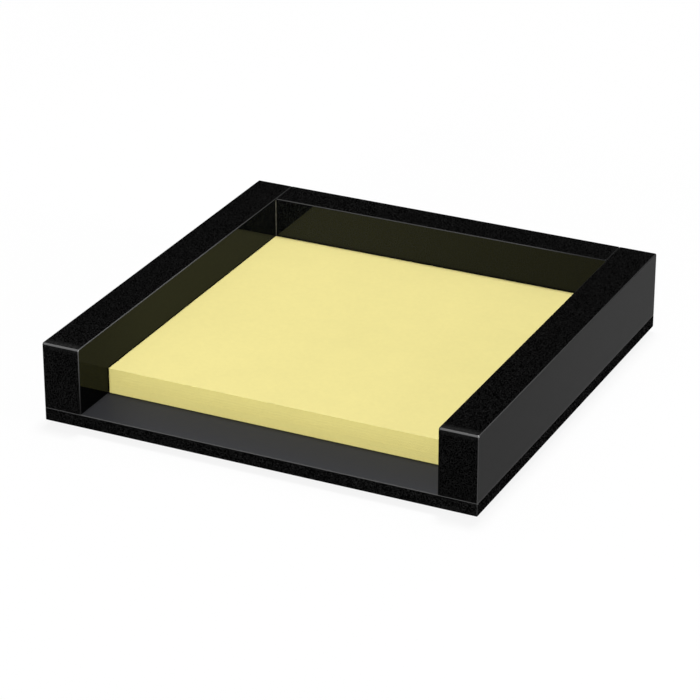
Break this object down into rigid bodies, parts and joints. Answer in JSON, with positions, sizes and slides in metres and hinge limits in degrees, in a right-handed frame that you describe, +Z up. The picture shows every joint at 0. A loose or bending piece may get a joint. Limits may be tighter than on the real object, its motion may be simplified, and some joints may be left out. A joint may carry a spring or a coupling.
{
  "type": "memo pad holder",
  "caption": "Low square desk holder of black acrylic, with an open front and low thick walls, and a pad of square yellow notes in it.",
  "frame": {"origin": "on the surface the feet stand on, under the middle of the base plate", "axes": "+X to the right, +Y from the open front to the back wall, +Z up"},
  "size_m": [0.114, 0.114, 0.0222],
  "materials": {
    "acrylic": "black cast acrylic: polished faces, finely grained cut edges",
    "foot_rubber": "matt",
    "note_paper": "matt yellow paper",
    "pad_gum": "dried padding glue"
  },
  "bodies": {
    "holder": {"base_plate": "acrylic", "left_wall": "acrylic", "right_wall": "acrylic", "back_wall": "acrylic", "foot_front_left": "foot_rubber", "foot_front_right": "foot_rubber", "foot_back_left": "foot_rubber", "foot_back_right": "foot_rubber"},
    "note_pad": {"note_block": "note_paper", "gum_strip": "pad_gum"},
    "top_sheet": {"top_sheet": "note_paper"}
  },
  "joints": [
    {"name": "pad_slide", "type": "slide", "parent": "holder", "child": "note_pad", "axis": [0, -1, 0], "range_m": [0, 0.105]},
    {"name": "top_sheet_lift", "type": "slide", "parent": "note_pad", "child": "top_sheet", "axis": [0, 0, 1], "range_m": [0, 0.03]}
  ]
}
